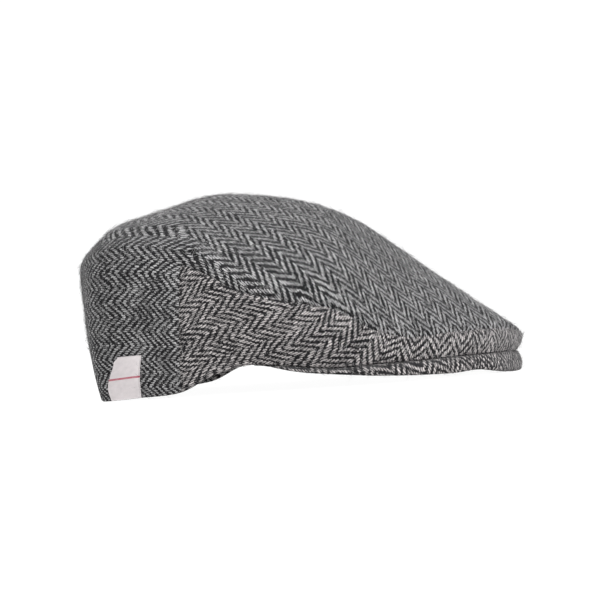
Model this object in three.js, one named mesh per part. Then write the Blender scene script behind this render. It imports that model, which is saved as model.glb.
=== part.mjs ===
// A flat cap in tweed, resting on its back hem and on the tip of its peak.
// Millimetres: +X points out over the peak, +Y to the wearer's left, +Z up.

import * as THREE from 'three';

// Driving dimensions
const CLOTH = 2.2; // thickness of a tweed wall
const SEAM_GAP = 0.5; // clear space between two pieces at a seam
const PEAK_SEAT = 0.35; // clear space between the crown's lower edge and the peak
const STEPS_PER_SECTION = 3; // mesh columns between two sections
const WALL_ROWS = 5; // mesh rows from the lower edge to the seam line
const TOP_ROWS = 6; // mesh rows from the seam line to the ridge

// The crown's right half, one row for each section from the middle of the front to the back.
// base: lower edge of the wall; seam: upper edge of the wall; ridge: middle line of the top.
// Y is the half width, and peakZ the underside of the peak's rim where the section has a peak.
const COLUMNS = ['baseX', 'baseY', 'baseZ', 'seamX', 'seamY', 'seamZ', 'ridgeX', 'ridgeZ', 'peakZ'];
const SECTIONS = [
  [134.5, 0, 5.8, 138, 0, 18.6, 138, 18.6, -0.6],
  [125.5, 31.5, 6.6, 129.3, 30.5, 21.4, 120, 31.4, 1],
  [98, 60, 7.4, 99.5, 61, 22.5, 92, 55, 3],
  [73.5, 73, 7.6, 72, 78.5, 22.5, 62, 81.5, 4],
  [52, 79.5, 8, 52, 87, 29, 40, 98, 5.4],
  [27, 82.5, 8.2, 32, 92.5, 42.5, 20, 108, 8],
  [-1, 83.5, 12, 10, 96.5, 48.5, -5, 115.5, 11.6],
  [-24, 83.5, 14.5, -22.5, 98, 58.5, -38, 120.5, 16],
  [-45, 82.5, 10.5, -42, 98, 70.5, -66, 117, 0],
  [-66, 78.5, 2.2, -57, 95, 78, -88, 113, 0],
  [-94, 70.5, 0.9, -93, 86, 82, -106, 105, 0],
  [-117.5, 51, 0, -116, 61.5, 81.5, -114.5, 98.3, 0],
  [-120.5, 0, 0, -131.6, 0, 80.5, -131.6, 80.5, 0],
].map((row) => Object.fromEntries(row.map((value, i) => [COLUMNS[i], value])));
const BACK_SEAM = 9; // the section at the upright seam between side panel and back
const LEAN = { slope: 0.0255, fromX: -113 }; // at rest the crown leans back, its front a little higher

// The crown's curves between the sections
const BULGE = { least: 2, perHeight: 0.02 }; // how far a wall bows out
const SHOULDER_HANDLE = 0.33; // share of the distance from seam to ridge
const RIDGE_HANDLE = 0.5; // share of the half width at the seam

// The peak
const PEAK_END = 6.6; // section number where the peak's tips end
const PEAK_BROAD = 4.95; // past this section the peak is only a narrow rim under the side panel
const PEAK_TUCK = 0.9; // sections over which the rim tucks in under the side panel at its tips
const PEAK_STEPS = 52;
const PEAK_INNER = { centreX: 12, length: 66, halfWidth: 79, endAngle: 75 }; // edge at the head
const PEAK_RISE = 0.25; // slope of the peak up to the head opening
const PEAK_BOARD = 3.2; // thickness at the head opening
const PEAK_TIP_BOARD = 0.75; // most of the rim's height that the board takes at the thin tips
const PEAK_SWEEP = { at: 0.6, rise: 0.7 }; // a point on the way to the head, above the straight slope
const PEAK_FULL_WIDTH = 14; // narrower than this, the rim's section shrinks with the peak
// The rolled rim: out is measured from the crown's lower edge, up is a share of the rim's height.
const RIM_SECTION = [
  { out: -4, up: 1 },
  { out: 0.6, up: 1 },
  { out: 2, up: 0.8 },
  { out: 3, up: 0.5 },
  { out: 2.6, up: 0.14 },
  { out: 1.4, up: 0 },
  { out: -1.4, up: 0 },
  { out: -4, up: 0.25 },
];

// The woven label, in section numbers along the back and shares of the wall's height
const LABEL = { thickness: 0.8, gap: 0.4, top: 0.32, bottom: 0.008, columns: 6, rows: 6 };
const LABEL_SIDES = { topFront: 9.77, topBack: 10.27, bottomFront: 9.88, bottomBack: 10.6 };

const UP = new THREE.Vector3(0, 0, 1);
const LOOP_SECTIONS = 2 * (SECTIONS.length - 1);

// A closed smooth curve through one point of every section: right side first, then left.
function loopThrough(pick) {
  const right = SECTIONS.map((row) => pick(row, -1));
  const left = SECTIONS.slice(1, -1).reverse().map((row) => pick(row, 1));
  return new THREE.CatmullRomCurve3([...right, ...left], true, 'centripetal');
}

// A point of the crown after the lean, which leaves the back hem flat on the floor.
function leaned(x, y, z) {
  const lift = LEAN.slope * Math.max(0, x - LEAN.fromX);
  return new THREE.Vector3(x - LEAN.slope * z, y, z + lift);
}

const baseLoop = loopThrough((row, side) => leaned(row.baseX, side * row.baseY, row.baseZ));
const seamLoop = loopThrough((row, side) => leaned(row.seamX, side * row.seamY, row.seamZ));
const ridgeLoop = loopThrough((row) => leaned(row.ridgeX, 0, row.ridgeZ));
const peakLoop = loopThrough((row) => new THREE.Vector3(row.peakZ, 0, 0));

// The point of a loop at a section number, which may lie between sections or be negative.
function at(loop, section) {
  return loop.getPoint(THREE.MathUtils.euclideanModulo(section / LOOP_SECTIONS, 1));
}

// The same place on the right half, whose sections run from 0 to the last row.
function onRightHalf(section) {
  return Math.min(section, LOOP_SECTIONS - section);
}

function outwardAt(section) {
  const step = 0.05;
  const along = at(baseLoop, section + step).sub(at(baseLoop, section - step));
  return new THREE.Vector3().crossVectors(UP, along).setZ(0).normalize();
}

// A section of the crown: its wall is a curve of second degree, its top one of third degree.
function crownSection(section) {
  const base = at(baseLoop, section);
  base.z = Math.max(base.z, 0);
  const seam = at(seamLoop, section);
  const ridge = at(ridgeLoop, onRightHalf(section)).setY(0);
  const bulge = BULGE.least + BULGE.perHeight * (seam.z - base.z);
  const bow = base.clone().lerp(seam, 0.5).addScaledVector(outwardAt(section), 2 * bulge);
  const shoulder = seam.clone().sub(bow).normalize();
  shoulder.multiplyScalar(SHOULDER_HANDLE * seam.distanceTo(ridge)).add(seam);
  const crest = ridge.clone().setY(RIDGE_HANDLE * seam.y);
  return {
    wall: new THREE.QuadraticBezierCurve3(base, bow, seam),
    top: new THREE.CubicBezierCurve3(seam, shoulder, crest, ridge),
  };
}

// The crown's outer surface as one mesh, with a piece's name on every triangle.
function crownSurface() {
  const points = [];
  const numbers = new Map();
  function numberOf(point) {
    const key = point.toArray().map((value) => value.toFixed(2).replace('-0.00', '0.00')).join();
    if (!numbers.has(key)) {
      numbers.set(key, points.length);
      points.push(point);
    }
    return numbers.get(key);
  }
  const columnCount = LOOP_SECTIONS * STEPS_PER_SECTION;
  const columns = [];
  for (let i = 0; i < columnCount; i++) {
    const { wall, top } = crownSection(i / STEPS_PER_SECTION);
    const curve = [...wall.getPoints(WALL_ROWS), ...top.getPoints(TOP_ROWS).slice(1)];
    columns.push(curve.map(numberOf));
  }
  const triangles = [];
  for (let i = 0; i < columnCount; i++) {
    const here = columns[i];
    const next = columns[(i + 1) % columnCount];
    const section = (i + 0.5) / STEPS_PER_SECTION;
    const fromFront = onRightHalf(section);
    const side = section < LOOP_SECTIONS / 2 ? 'side_panel_right' : 'side_panel_left';
    for (let j = 0; j < WALL_ROWS + TOP_ROWS; j++) {
      const piece = j < WALL_ROWS && fromFront < BACK_SEAM ? side : 'crown_top';
      const corners = [
        [here[j], here[j + 1], next[j + 1]],
        [here[j], next[j + 1], next[j]],
      ];
      for (const corner of corners) {
        if (new Set(corner).size === 3) triangles.push({ corner, piece });
      }
    }
  }
  return { points, triangles };
}

function edgesOf(corner) {
  return corner.map((from, k) => [from, corner[(k + 1) % 3]]);
}

// Cloth of one thickness under part of a surface, drawn in from the seams that it shares.
function clothPiece(surface, normals, piece) {
  const own = surface.triangles.filter((triangle) => triangle.piece === piece);
  const others = surface.triangles.filter((triangle) => triangle.piece !== piece);
  const ownEdges = new Set(own.flatMap(({ corner }) => edgesOf(corner).map((edge) => edge.join())));
  const seamPoints = new Set(others.flatMap(({ corner }) => corner));
  const border = own.flatMap(({ corner }) => edgesOf(corner))
    .filter(([from, to]) => !ownEdges.has(`${to},${from}`));
  const borderPoints = new Set(border.flat());

  const inward = new Map();
  for (const { corner } of own) {
    const middle = new THREE.Vector3();
    corner.forEach((k) => middle.addScaledVector(surface.points[k], 1 / 3));
    for (const k of corner) {
      if (!inward.has(k)) inward.set(k, new THREE.Vector3());
      inward.get(k).add(middle.clone().sub(surface.points[k]));
    }
  }
  const order = [...inward.keys()];
  const place = new Map(order.map((k, i) => [k, i]));
  const outer = order.map((k) => {
    const point = surface.points[k].clone();
    if (!seamPoints.has(k)) return point;
    const pull = inward.get(k).projectOnPlane(normals[k]).normalize();
    return point.addScaledVector(pull, SEAM_GAP / 2);
  });
  const inner = order.map((k, i) => {
    const depth = normals[k].clone();
    if (borderPoints.has(k) && !seamPoints.has(k)) depth.setZ(0).normalize();
    return outer[i].clone().addScaledVector(depth, -CLOTH);
  });

  const count = order.length;
  const index = [];
  for (const { corner } of own) {
    const [a, b, c] = corner.map((k) => place.get(k));
    index.push(a, b, c, a + count, c + count, b + count);
  }
  for (const [from, to] of border) {
    const a = place.get(from);
    const b = place.get(to);
    index.push(b, a, a + count, b, a + count, b + count);
  }
  return meshGeometry([...outer, ...inner], index);
}

function meshGeometry(points, index) {
  const geometry = new THREE.BufferGeometry().setFromPoints(points);
  geometry.setIndex(index);
  geometry.computeVertexNormals();
  return geometry;
}

function normalsOf(surface) {
  const geometry = meshGeometry(surface.points, surface.triangles.flatMap(({ corner }) => corner));
  const normal = geometry.getAttribute('normal');
  return surface.points.map((_, k) => new THREE.Vector3().fromBufferAttribute(normal, k));
}

// One closed section of the peak, from the head opening round the rolled rim and back.
function peakSection(section) {
  const base = at(baseLoop, section);
  const floor = Math.max(at(peakLoop, section).x, 0);
  const crease = base.z - PEAK_SEAT;
  const broad = THREE.MathUtils.clamp(section, -PEAK_BROAD, PEAK_BROAD);
  const angle = THREE.MathUtils.degToRad(PEAK_INNER.endAngle * broad / PEAK_BROAD);
  const inner = new THREE.Vector3(
    PEAK_INNER.centreX + PEAK_INNER.length * Math.cos(angle),
    -PEAK_INNER.halfWidth * Math.sin(angle),
    0,
  );
  const towardHead = inner.clone().sub(at(baseLoop, broad)).setZ(0);
  const width = towardHead.length();
  towardHead.normalize();
  const outward = outwardAt(section);
  const shrink = Math.min(1, width / PEAK_FULL_WIDTH);
  const reveal = Math.min(1, (PEAK_END - Math.abs(section)) / PEAK_TUCK);
  const rim = RIM_SECTION.map(({ out, up }) => {
    const point = base.clone();
    if (out > 0) point.addScaledVector(outward, out * reveal);
    else point.addScaledVector(towardHead, -out * shrink);
    return point.setZ(floor + up * (crease - floor));
  });
  const board = Math.min(PEAK_BOARD, PEAK_TIP_BOARD * (crease - floor));
  const rise = PEAK_RISE * width;
  const head = base.clone().addScaledVector(towardHead, width).setZ(crease + rise);
  const sweep = base.clone().addScaledVector(towardHead, PEAK_SWEEP.at * width);
  sweep.setZ(crease + PEAK_SWEEP.rise * rise);
  const below = (point) => point.clone().setZ(point.z - board);
  return [head, sweep, ...rim, below(sweep), below(head)];
}

function peakGeometry() {
  const points = [];
  const index = [];
  let size = 0;
  for (let i = 0; i <= PEAK_STEPS; i++) {
    const ring = peakSection(PEAK_END * (2 * i / PEAK_STEPS - 1));
    size = ring.length;
    points.push(...ring);
  }
  for (let i = 0; i < PEAK_STEPS; i++) {
    for (let k = 0; k < size; k++) {
      const a = i * size + k;
      const b = i * size + (k + 1) % size;
      index.push(a, a + size, b, b, a + size, b + size);
    }
  }
  const last = PEAK_STEPS * size;
  for (let k = 0; k < size / 2 - 1; k++) {
    const [a, b, c, d] = [k, k + 1, size - 2 - k, size - 1 - k];
    index.push(a, b, c, a, c, d);
    index.push(last + a, last + c, last + b, last + a, last + d, last + c);
  }
  return meshGeometry(points, index);
}

function labelGeometry() {
  const outer = [];
  const inner = [];
  const index = [];
  const stride = LABEL.columns + 1;
  for (let j = 0; j <= LABEL.rows; j++) {
    const down = j / LABEL.rows;
    const front = THREE.MathUtils.lerp(LABEL_SIDES.topFront, LABEL_SIDES.bottomFront, down);
    const back = THREE.MathUtils.lerp(LABEL_SIDES.topBack, LABEL_SIDES.bottomBack, down);
    for (let i = 0; i <= LABEL.columns; i++) {
      const section = THREE.MathUtils.lerp(front, back, i / LABEL.columns);
      const height = THREE.MathUtils.lerp(LABEL.top, LABEL.bottom, down);
      const point = crownSection(section).wall.getPoint(height);
      const outward = outwardAt(section);
      inner.push(point.clone().addScaledVector(outward, LABEL.gap));
      outer.push(point.clone().addScaledVector(outward, LABEL.gap + LABEL.thickness));
    }
  }
  const count = outer.length;
  for (let j = 0; j < LABEL.rows; j++) {
    for (let i = 0; i < LABEL.columns; i++) {
      const a = j * stride + i;
      const [b, c, d] = [a + 1, a + stride + 1, a + stride];
      index.push(a, b, c, a, c, d);
      index.push(a + count, c + count, b + count, a + count, d + count, c + count);
    }
  }
  const rim = [];
  for (let i = 0; i < LABEL.columns; i++) rim.push([i, i + 1]);
  for (let j = 0; j < LABEL.rows; j++) rim.push([(j + 1) * stride - 1, (j + 2) * stride - 1]);
  for (let i = LABEL.columns; i > 0; i--) rim.push([LABEL.rows * stride + i, LABEL.rows * stride + i - 1]);
  for (let j = LABEL.rows; j > 0; j--) rim.push([j * stride, (j - 1) * stride]);
  for (const [a, b] of rim) index.push(b, a, a + count, b, a + count, b + count);
  return meshGeometry([...outer, ...inner], index);
}

const tweed = new THREE.MeshStandardMaterial({ color: 0x6f6e6c, roughness: 0.95, metalness: 0 });
const wovenWhite = new THREE.MeshStandardMaterial({ color: 0xe9e6e8, roughness: 0.8, metalness: 0 });

const cap = new THREE.Group();
function addPiece(name, geometry, material) {
  const mesh = new THREE.Mesh(geometry, material);
  mesh.name = name;
  cap.add(mesh);
}

const surface = crownSurface();
const normals = normalsOf(surface);
for (const name of ['crown_top', 'side_panel_right', 'side_panel_left']) {
  addPiece(name, clothPiece(surface, normals, name), tweed);
}
addPiece('peak', peakGeometry(), tweed);
addPiece('label', labelGeometry(), wovenWhite);

// The origin lies on the floor under the middle of the cap's box.
const middle = new THREE.Box3().setFromObject(cap).getCenter(new THREE.Vector3());
cap.position.set(-middle.x, -middle.y, 0);

export default cap;
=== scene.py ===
# %% [markdown]
# # A flat cap in herringbone tweed
# The cap is a soft shell: a top that runs down the back, two side panels that meet in front, a peak with
# a rolled rim, and a small label on the hem. Every piece is woven cloth, so the lesson is about two
# things: bending one smooth form into sewn panels, and laying a woven pattern on each panel the way it
# was cut. The first cell loads the plain model that all pieces have to fit.

# %% Load the frame
import math
import bpy
import numpy as np
from mathutils import Matrix, Vector


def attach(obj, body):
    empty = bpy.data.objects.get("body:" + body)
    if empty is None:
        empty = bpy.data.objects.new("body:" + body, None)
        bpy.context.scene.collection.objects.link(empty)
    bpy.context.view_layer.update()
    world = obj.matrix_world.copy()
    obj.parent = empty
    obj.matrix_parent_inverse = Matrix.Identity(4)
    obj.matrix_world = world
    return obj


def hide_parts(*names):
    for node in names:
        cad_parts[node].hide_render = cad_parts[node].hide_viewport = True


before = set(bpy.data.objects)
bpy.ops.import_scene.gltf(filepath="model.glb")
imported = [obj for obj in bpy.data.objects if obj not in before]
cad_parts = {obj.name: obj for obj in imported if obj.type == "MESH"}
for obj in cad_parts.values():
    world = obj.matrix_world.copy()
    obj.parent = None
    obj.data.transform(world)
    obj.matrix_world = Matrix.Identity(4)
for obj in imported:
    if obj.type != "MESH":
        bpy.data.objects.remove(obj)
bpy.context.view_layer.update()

# %% [markdown]
# ## Camera
# The photograph looks almost level at the cap's right side, from a little in front, with the camera
# tipped so that the peak rises. The camera needs a right, an up and a forward direction; written as the
# columns of a matrix they turn the camera at once, which is easier to follow than three Euler angles.

# %% Camera
CAMERA_TURN = math.radians(5.0)
CAMERA_RISE = math.radians(0.35)
CAMERA_TIP = math.radians(4.2)
CAMERA_FAR = 1.6
PIXELS_PER_METRE = 1600.0
AIM_PIXEL = (299.5, 288.6)
FRAME_PIXELS = 600

right = Vector((math.cos(CAMERA_TURN), math.sin(CAMERA_TURN), 0))
ahead = Vector((-math.sin(CAMERA_TURN) * math.cos(CAMERA_RISE),
                math.cos(CAMERA_TURN) * math.cos(CAMERA_RISE), -math.sin(CAMERA_RISE)))
up = right.cross(ahead)
tipped_right = right * math.cos(CAMERA_TIP) - up * math.sin(CAMERA_TIP)
tipped_up = right * math.sin(CAMERA_TIP) + up * math.cos(CAMERA_TIP)
aim = Vector((0, 0, 0.06))
aside = (FRAME_PIXELS / 2 - AIM_PIXEL[0]) / PIXELS_PER_METRE
above = (AIM_PIXEL[1] - FRAME_PIXELS / 2) / PIXELS_PER_METRE
place = aim - ahead * CAMERA_FAR + tipped_right * aside + tipped_up * above

camera = bpy.data.objects.new("camera", bpy.data.cameras.new("camera"))
bpy.context.scene.collection.objects.link(camera)
turn = Matrix((tipped_right, tipped_up, -ahead)).transposed()
camera.matrix_world = Matrix.Translation(place) @ turn.to_4x4()
camera.data.sensor_width = 36
camera.data.lens = 36 * CAMERA_FAR * PIXELS_PER_METRE / FRAME_PIXELS
bpy.context.scene.camera = camera
print("camera height above the floor, mm:", round(1000 * place.z, 1))

# %% [markdown]
# ## The form of the cap
# Thirteen sections describe half of the cap, from the front middle to the back middle. A section has a
# point on the lower edge, one on the seam line and one on the ridge. Smooth closed loops run through
# these points, and two Bezier curves join them: a bowed wall below the seam and a rounded top above it.
# All lengths are millimetres here and become metres only when a mesh is made.

# %% Sections and loops
SECTIONS = np.array([
    # baseX, baseY, baseZ, seamX, seamY, seamZ, ridgeX, ridgeZ, peakZ
    [134.5, 0, 5.8, 138, 0, 18.6, 138, 18.6, -0.6],
    [125.5, 31.5, 6.6, 129.3, 30.5, 21.4, 120, 31.4, 1],
    [98, 60, 7.4, 99.5, 61, 22.5, 92, 55, 3],
    [73.5, 73, 7.6, 72, 78.5, 22.5, 62, 81.5, 4],
    [52, 79.5, 8, 52, 87, 29, 40, 98, 5.4],
    [27, 82.5, 8.2, 32, 92.5, 42.5, 20, 108, 8],
    [-1, 83.5, 12, 10, 96.5, 48.5, -5, 115.5, 11.6],
    [-24, 83.5, 14.5, -22.5, 98, 58.5, -38, 120.5, 16],
    [-45, 82.5, 10.5, -42, 98, 70.5, -66, 117, 0],
    [-66, 78.5, 2.2, -57, 95, 78, -88, 113, 0],
    [-94, 70.5, 0.9, -93, 86, 82, -106, 105, 0],
    [-117.5, 51, 0, -116, 61.5, 81.5, -114.5, 98.3, 0],
    [-120.5, 0, 0, -131.6, 0, 80.5, -131.6, 80.5, 0],
])
LOOP = 2 * (len(SECTIONS) - 1)
BACK_SEAM = 9
CLOTH = 2.2
# How far a wall bows out, and how far the shoulder reaches over the seam as a share of the top's width.
BULGE, BULGE_PER_HEIGHT, SHOULDER = 2, 0.02, 0.33
# The cap tips back as it rests, rising in front of this place, and its box is then moved to the middle.
LEAN = 0.0255
LEAN_FROM_X = -113
MIDDLE_X = -2.3876


def closed_loop(points):
    """Gives a function for the point of a centripetal loop at any section number."""
    points = np.asarray(points, float)
    count = len(points)

    def gap(a, b):
        return ((b - a) ** 2).sum(-1, keepdims=True) ** 0.25

    def at(section):
        section = np.asarray(section, float) % count
        first = np.floor(section).astype(int)
        t = (section - first)[..., None]
        p0, p1, p2, p3 = (points[(first + k) % count] for k in (-1, 0, 1, 2))
        d1 = gap(p1, p2)
        d1 = np.where(d1 < 1e-4, 1.0, d1)
        d0 = gap(p0, p1)
        d0 = np.where(d0 < 1e-4, d1, d0)
        d2 = gap(p2, p3)
        d2 = np.where(d2 < 1e-4, d1, d2)
        m1 = ((p1 - p0) / d0 - (p2 - p0) / (d0 + d1) + (p2 - p1) / d1) * d1
        m2 = ((p2 - p1) / d1 - (p3 - p1) / (d1 + d2) + (p3 - p2) / d2) * d1
        square = 3 * (p2 - p1) - 2 * m1 - m2
        cube = 2 * (p1 - p2) + m1 + m2
        return p1 + t * (m1 + t * (square + t * cube))

    return at


def both_sides(x, y, z):
    """A loop through the right half and its mirror image, with the crown leaning back as it rests."""
    half = np.stack([x - LEAN * z, -y, z + LEAN * np.maximum(x - LEAN_FROM_X, 0)], axis=1)
    other = half[-2:0:-1] * np.array([1, -1, 1])
    return closed_loop(np.concatenate([half, other]))


base_loop = both_sides(SECTIONS[:, 0], SECTIONS[:, 1], SECTIONS[:, 2])
seam_loop = both_sides(SECTIONS[:, 3], SECTIONS[:, 4], SECTIONS[:, 5])
ridge_loop = both_sides(SECTIONS[:, 6], 0 * SECTIONS[:, 6], SECTIONS[:, 7])
peak_floor = np.concatenate([SECTIONS[:, 8], SECTIONS[-2:0:-1, 8]])
floor_loop = closed_loop(np.stack([peak_floor, 0 * peak_floor, 0 * peak_floor], axis=1))


def unit(v):
    return v / np.maximum(np.linalg.norm(v, axis=-1, keepdims=True), 1e-9)


def outward_at(section):
    along = base_loop(section + 0.05) - base_loop(section - 0.05)
    side = np.stack([-along[..., 1], along[..., 0], 0 * along[..., 0]], axis=-1)
    return unit(side)


def crown_points(section, row):
    """Points for section numbers and rows: row 0 is the lower edge, 1 the seam line and 2 the ridge."""
    section, row = np.broadcast_arrays(np.asarray(section, float), np.asarray(row, float))
    base = base_loop(section)
    base[..., 2] = np.maximum(base[..., 2], 0)
    seam = seam_loop(section)
    ridge = ridge_loop(section)
    ridge[..., 1] = 0
    bulge = (BULGE + BULGE_PER_HEIGHT * (seam[..., 2] - base[..., 2]))[..., None]
    bow = (base + seam) / 2 + 2 * bulge * outward_at(section)
    reach = SHOULDER * np.linalg.norm(seam - ridge, axis=-1, keepdims=True)
    shoulder = seam + reach * unit(seam - bow)
    crest = ridge.copy()
    crest[..., 1] = 0.5 * seam[..., 1]
    t = np.clip(row, 0, 1)[..., None]
    wall = (1 - t) ** 2 * base + 2 * t * (1 - t) * bow + t * t * seam
    t = np.clip(row - 1, 0, 1)[..., None]
    s = 1 - t
    top = s ** 3 * seam + 3 * t * s ** 2 * shoulder + 3 * t * t * s * crest + t ** 3 * ridge
    return np.where((row <= 1)[..., None], wall, top)


print("ridge height, mm:", round(float(ridge_loop(np.linspace(0, 12, 200))[:, 2].max()), 1))

# %% [markdown]
# ## Rows and columns of the cloth
# A mesh that follows the cloth needs more points where the cloth turns in at a seam and fewer where it
# lies smooth. The lists below set the columns round the cap and the rows up the wall and over the top.
# The cell also makes a smooth step between two limits, because many later shapes fade in and out with it.

# %% Rows and columns
near_seam = np.array([0.012, 0.03, 0.055, 0.09, 0.14])
columns = [np.arange(0, LOOP + 1e-6, 0.1)]
for seam_at in (0, BACK_SEAM, LOOP - BACK_SEAM, LOOP):
    columns += [seam_at + near_seam, seam_at - near_seam]
columns = np.concatenate(columns)
columns = np.unique(columns[(columns >= 0) & (columns <= LOOP)].round(4))
hem_rows = [0, 0.02, 0.05]
rows_below_seam = [0.9, 0.935, 0.962, 0.98, 0.992, 1]
rows_above_seam = [1, 1.006, 1.015, 1.028, 1.046, 1.07]
wall_rows = np.concatenate([hem_rows, np.linspace(0.1, 0.86, 16), rows_below_seam])
top_rows = np.concatenate([rows_above_seam, np.linspace(1.1, 2, 31)])


def smooth(low, high, x):
    t = np.clip((x - low) / (high - low), 0, 1)
    return t * t * (3 - 2 * t)


print(len(columns), "columns,", len(wall_rows), "wall rows,", len(top_rows), "top rows")

# %% [markdown]
# ## How the cloth turns in at the seams
# Two pieces of tweed are sewn face to face and folded open, so beside the stitches each piece rolls
# inwards and the thick allowance lifts it slightly a little further on. Small puckers run along the seam.
# The same cell adds the slow unevenness that any soft cap has. It is all a distance along the surface's
# own direction.

# %% Relief of the sewn cloth
TUCK = 0.95
TUCK_WIDTH = 1.5
ALLOWANCE = 0.4
PUCKER = 0.13
UNEVEN = 0.55
# Slow waves of the cloth.
RIDGES = [
    # waves per length, direction, start
    (0.071, (0.8, 0.35, 0.5), 0.3), (0.052, (-0.4, 0.9, 0.2), 1.9), (0.094, (0.5, -0.3, -0.8), 4.0),
    (0.037, (0.9, 0.1, -0.4), 2.6), (0.118, (0.2, 0.6, 0.77), 5.2),
]
# Places where the soft cloth has sunk in or swelled, in millimetres.
DENTS = [
    # x, z, reach, depth inwards
    (-133, 50, 20, 0.8), (-114, 103, 14, 0.7), (-91, 113, 10, 1.5), (-77, 117, 11, 1.5), (98, 54, 15, -0.9),
    (130, 28, 11, 1.0), (-90, 58, 12, 1.8), (-88, 40, 11, 2.0), (-72, 52, 9, -0.6),
]


def sunk(points):
    total = 0
    for x, z, reach, depth in DENTS:
        away = ((points[..., 0] - x) ** 2 + (points[..., 2] - z) ** 2) / reach ** 2
        total = total + depth * np.exp(-away)
    return total


def slow_waves(points):
    total = 0
    for speed, direction, start in RIDGES:
        total = total + np.sin(points @ np.array(direction) * speed * 1.7 + start)
    return total / len(RIDGES)


def seam_relief(distance, along, strength=1.0):
    tuck = -TUCK * np.exp(-((distance / TUCK_WIDTH) ** 2))
    lift = ALLOWANCE * np.exp(-(((distance - 4.5) / 2.4) ** 2))
    pucker = PUCKER * np.sin(0.62 * along + 1.3 * np.sin(0.11 * along)) * np.exp(-distance / 5)
    return strength * (tuck + lift + pucker)


def relief(section, row, points, piece):
    """How far the cloth stands out or in, in millimetres."""
    from_front = np.minimum(section, LOOP - section)
    step = crown_points(section + 0.02, row) - crown_points(section - 0.02, row)
    run = np.linalg.norm(step, axis=-1) / 0.04
    height = np.where(row <= 1, measured_wall(section) * (1 - row), measured_top(section) * (row - 1))
    along = points[..., 0] + points[..., 1]
    total = UNEVEN * slow_waves(points) * smooth(0, 0.35, row) - sunk(points)
    if piece == "top":
        sewn = smooth(BACK_SEAM + 0.15, BACK_SEAM - 0.05, from_front)
        total = total + seam_relief(height, along) * sewn
    if piece == "side":
        total = total + seam_relief(height, along)
        total = total + seam_relief(np.abs(from_front) * run, points[..., 2], 0.6)
    if piece in ("side", "back"):
        total = total + seam_relief(np.abs(from_front - BACK_SEAM) * run, points[..., 2], 0.9)
    return total


def measured_wall(section):
    """Height of the wall along its bow, a little more than the straight distance."""
    base, seam = base_loop(section), seam_loop(section)
    return np.linalg.norm(seam - base, axis=-1) * 1.03


def measured_top(section):
    """Width of the top from seam to ridge along its round."""
    seam, ridge = seam_loop(section), ridge_loop(section)
    return np.linalg.norm(ridge - seam, axis=-1) * 1.12


print("slow waves lie between", *(round(float(f(slow_waves(crown_points(columns, 1.5 + 0 * columns)))), 2)
                                  for f in (np.min, np.max)))

# %% [markdown]
# ## Laying the weave on each panel
# Cloth is flat before it is sewn, and a weave runs straight on flat cloth. Each panel therefore gets its
# own flat coordinates: U goes across the herringbone columns and V along them, both in millimetres. The
# side panel is cut as a bent strip, so its columns slope up over the ear and stand upright on the narrow
# front. On the top the columns slant down and forwards. The back has a cell of its own below, because
# there the cloth bends both ways.

# %% Flat coordinates of the panels
ridge_line = ridge_loop(np.linspace(0, 12, 400))
ridge_run = np.concatenate([[0], np.linalg.norm(np.diff(ridge_line, axis=0), axis=1).cumsum()])
ridge_x = np.minimum.accumulate(ridge_line[:, 0])


def lengthwise(x):
    """Distance along the ridge, growing towards the front and zero at the back seam."""
    at = np.interp(-x, -ridge_x, ridge_run)
    zero = np.interp(-ridge_loop(np.array([float(BACK_SEAM)]))[0, 0], -ridge_x, ridge_run)
    return zero - at


# Rise of the twill lines along a column for each step across it.
TOP_STEEP = 1.25
PEAK_STEEP_AT = ((0, 2.0), (1.5, 2.0), (2.6, 1.35), (7, 1.2))
BACK_STEEP_AT = ((9, 1.45), (10, 1.45), (10.6, 1.5), (12, 1.45))
SIDE_STEEP_AT = ((0, 1.9), (1.2, 1.8), (2.2, 1.45), (5, 1.45), (6.2, 1.55), (9, 1.6))
# Angle of the columns against the ridge in degrees, for distances along the ridge from back to front.
SLANT_AT = ((-120, 31), (60, 33), (150, 34), (215, 38), (260, 40))
# Power that makes a length over the round shoulder out of a width and a drop.
ROUND = 1.24
slant_grid = np.linspace(-120, 260, 381)
slant_line = np.radians(np.interp(slant_grid, *zip(*SLANT_AT)))
slant_line = np.convolve(np.pad(slant_line, 20, mode="edge"), np.full(41, 1 / 41), mode="valid")


def summed(values):
    """Running total along the slant grid, zero at the back seam."""
    total = np.concatenate([[0], ((values[1:] + values[:-1]) / 2).cumsum()])
    return total - np.interp(0, slant_grid, total)


sideways_line, forward_line = summed(np.sin(slant_line)), summed(np.cos(slant_line))


def top_weave(section, row, points):
    """Columns slant down and forwards: the cloth's plane is turned by the slant at each place."""
    ridge_z = np.interp(-points[..., 0], -ridge_x, ridge_line[:, 2])
    drop = np.maximum(ridge_z - points[..., 2], 0)
    across = (np.abs(points[..., 1]) ** ROUND + drop ** ROUND) ** (1 / ROUND)
    ahead_by = lengthwise(points[..., 0])
    slant = np.interp(ahead_by, slant_grid, slant_line)
    u = across * np.cos(slant) - np.interp(ahead_by, slant_grid, sideways_line)
    v = across * np.sin(slant) + np.interp(ahead_by, slant_grid, forward_line)
    return np.stack([u, v, np.full_like(u, TOP_STEEP)], axis=-1)


# Angle of the side panel's columns against its own length in degrees, for section numbers from the front.
TURN_AT = ((0, 90), (1.4, 88), (2.3, 77), (3.2, 61), (4.25, 52), (5.2, 41), (6.1, 29), (7, 23), (9, 25))


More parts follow.
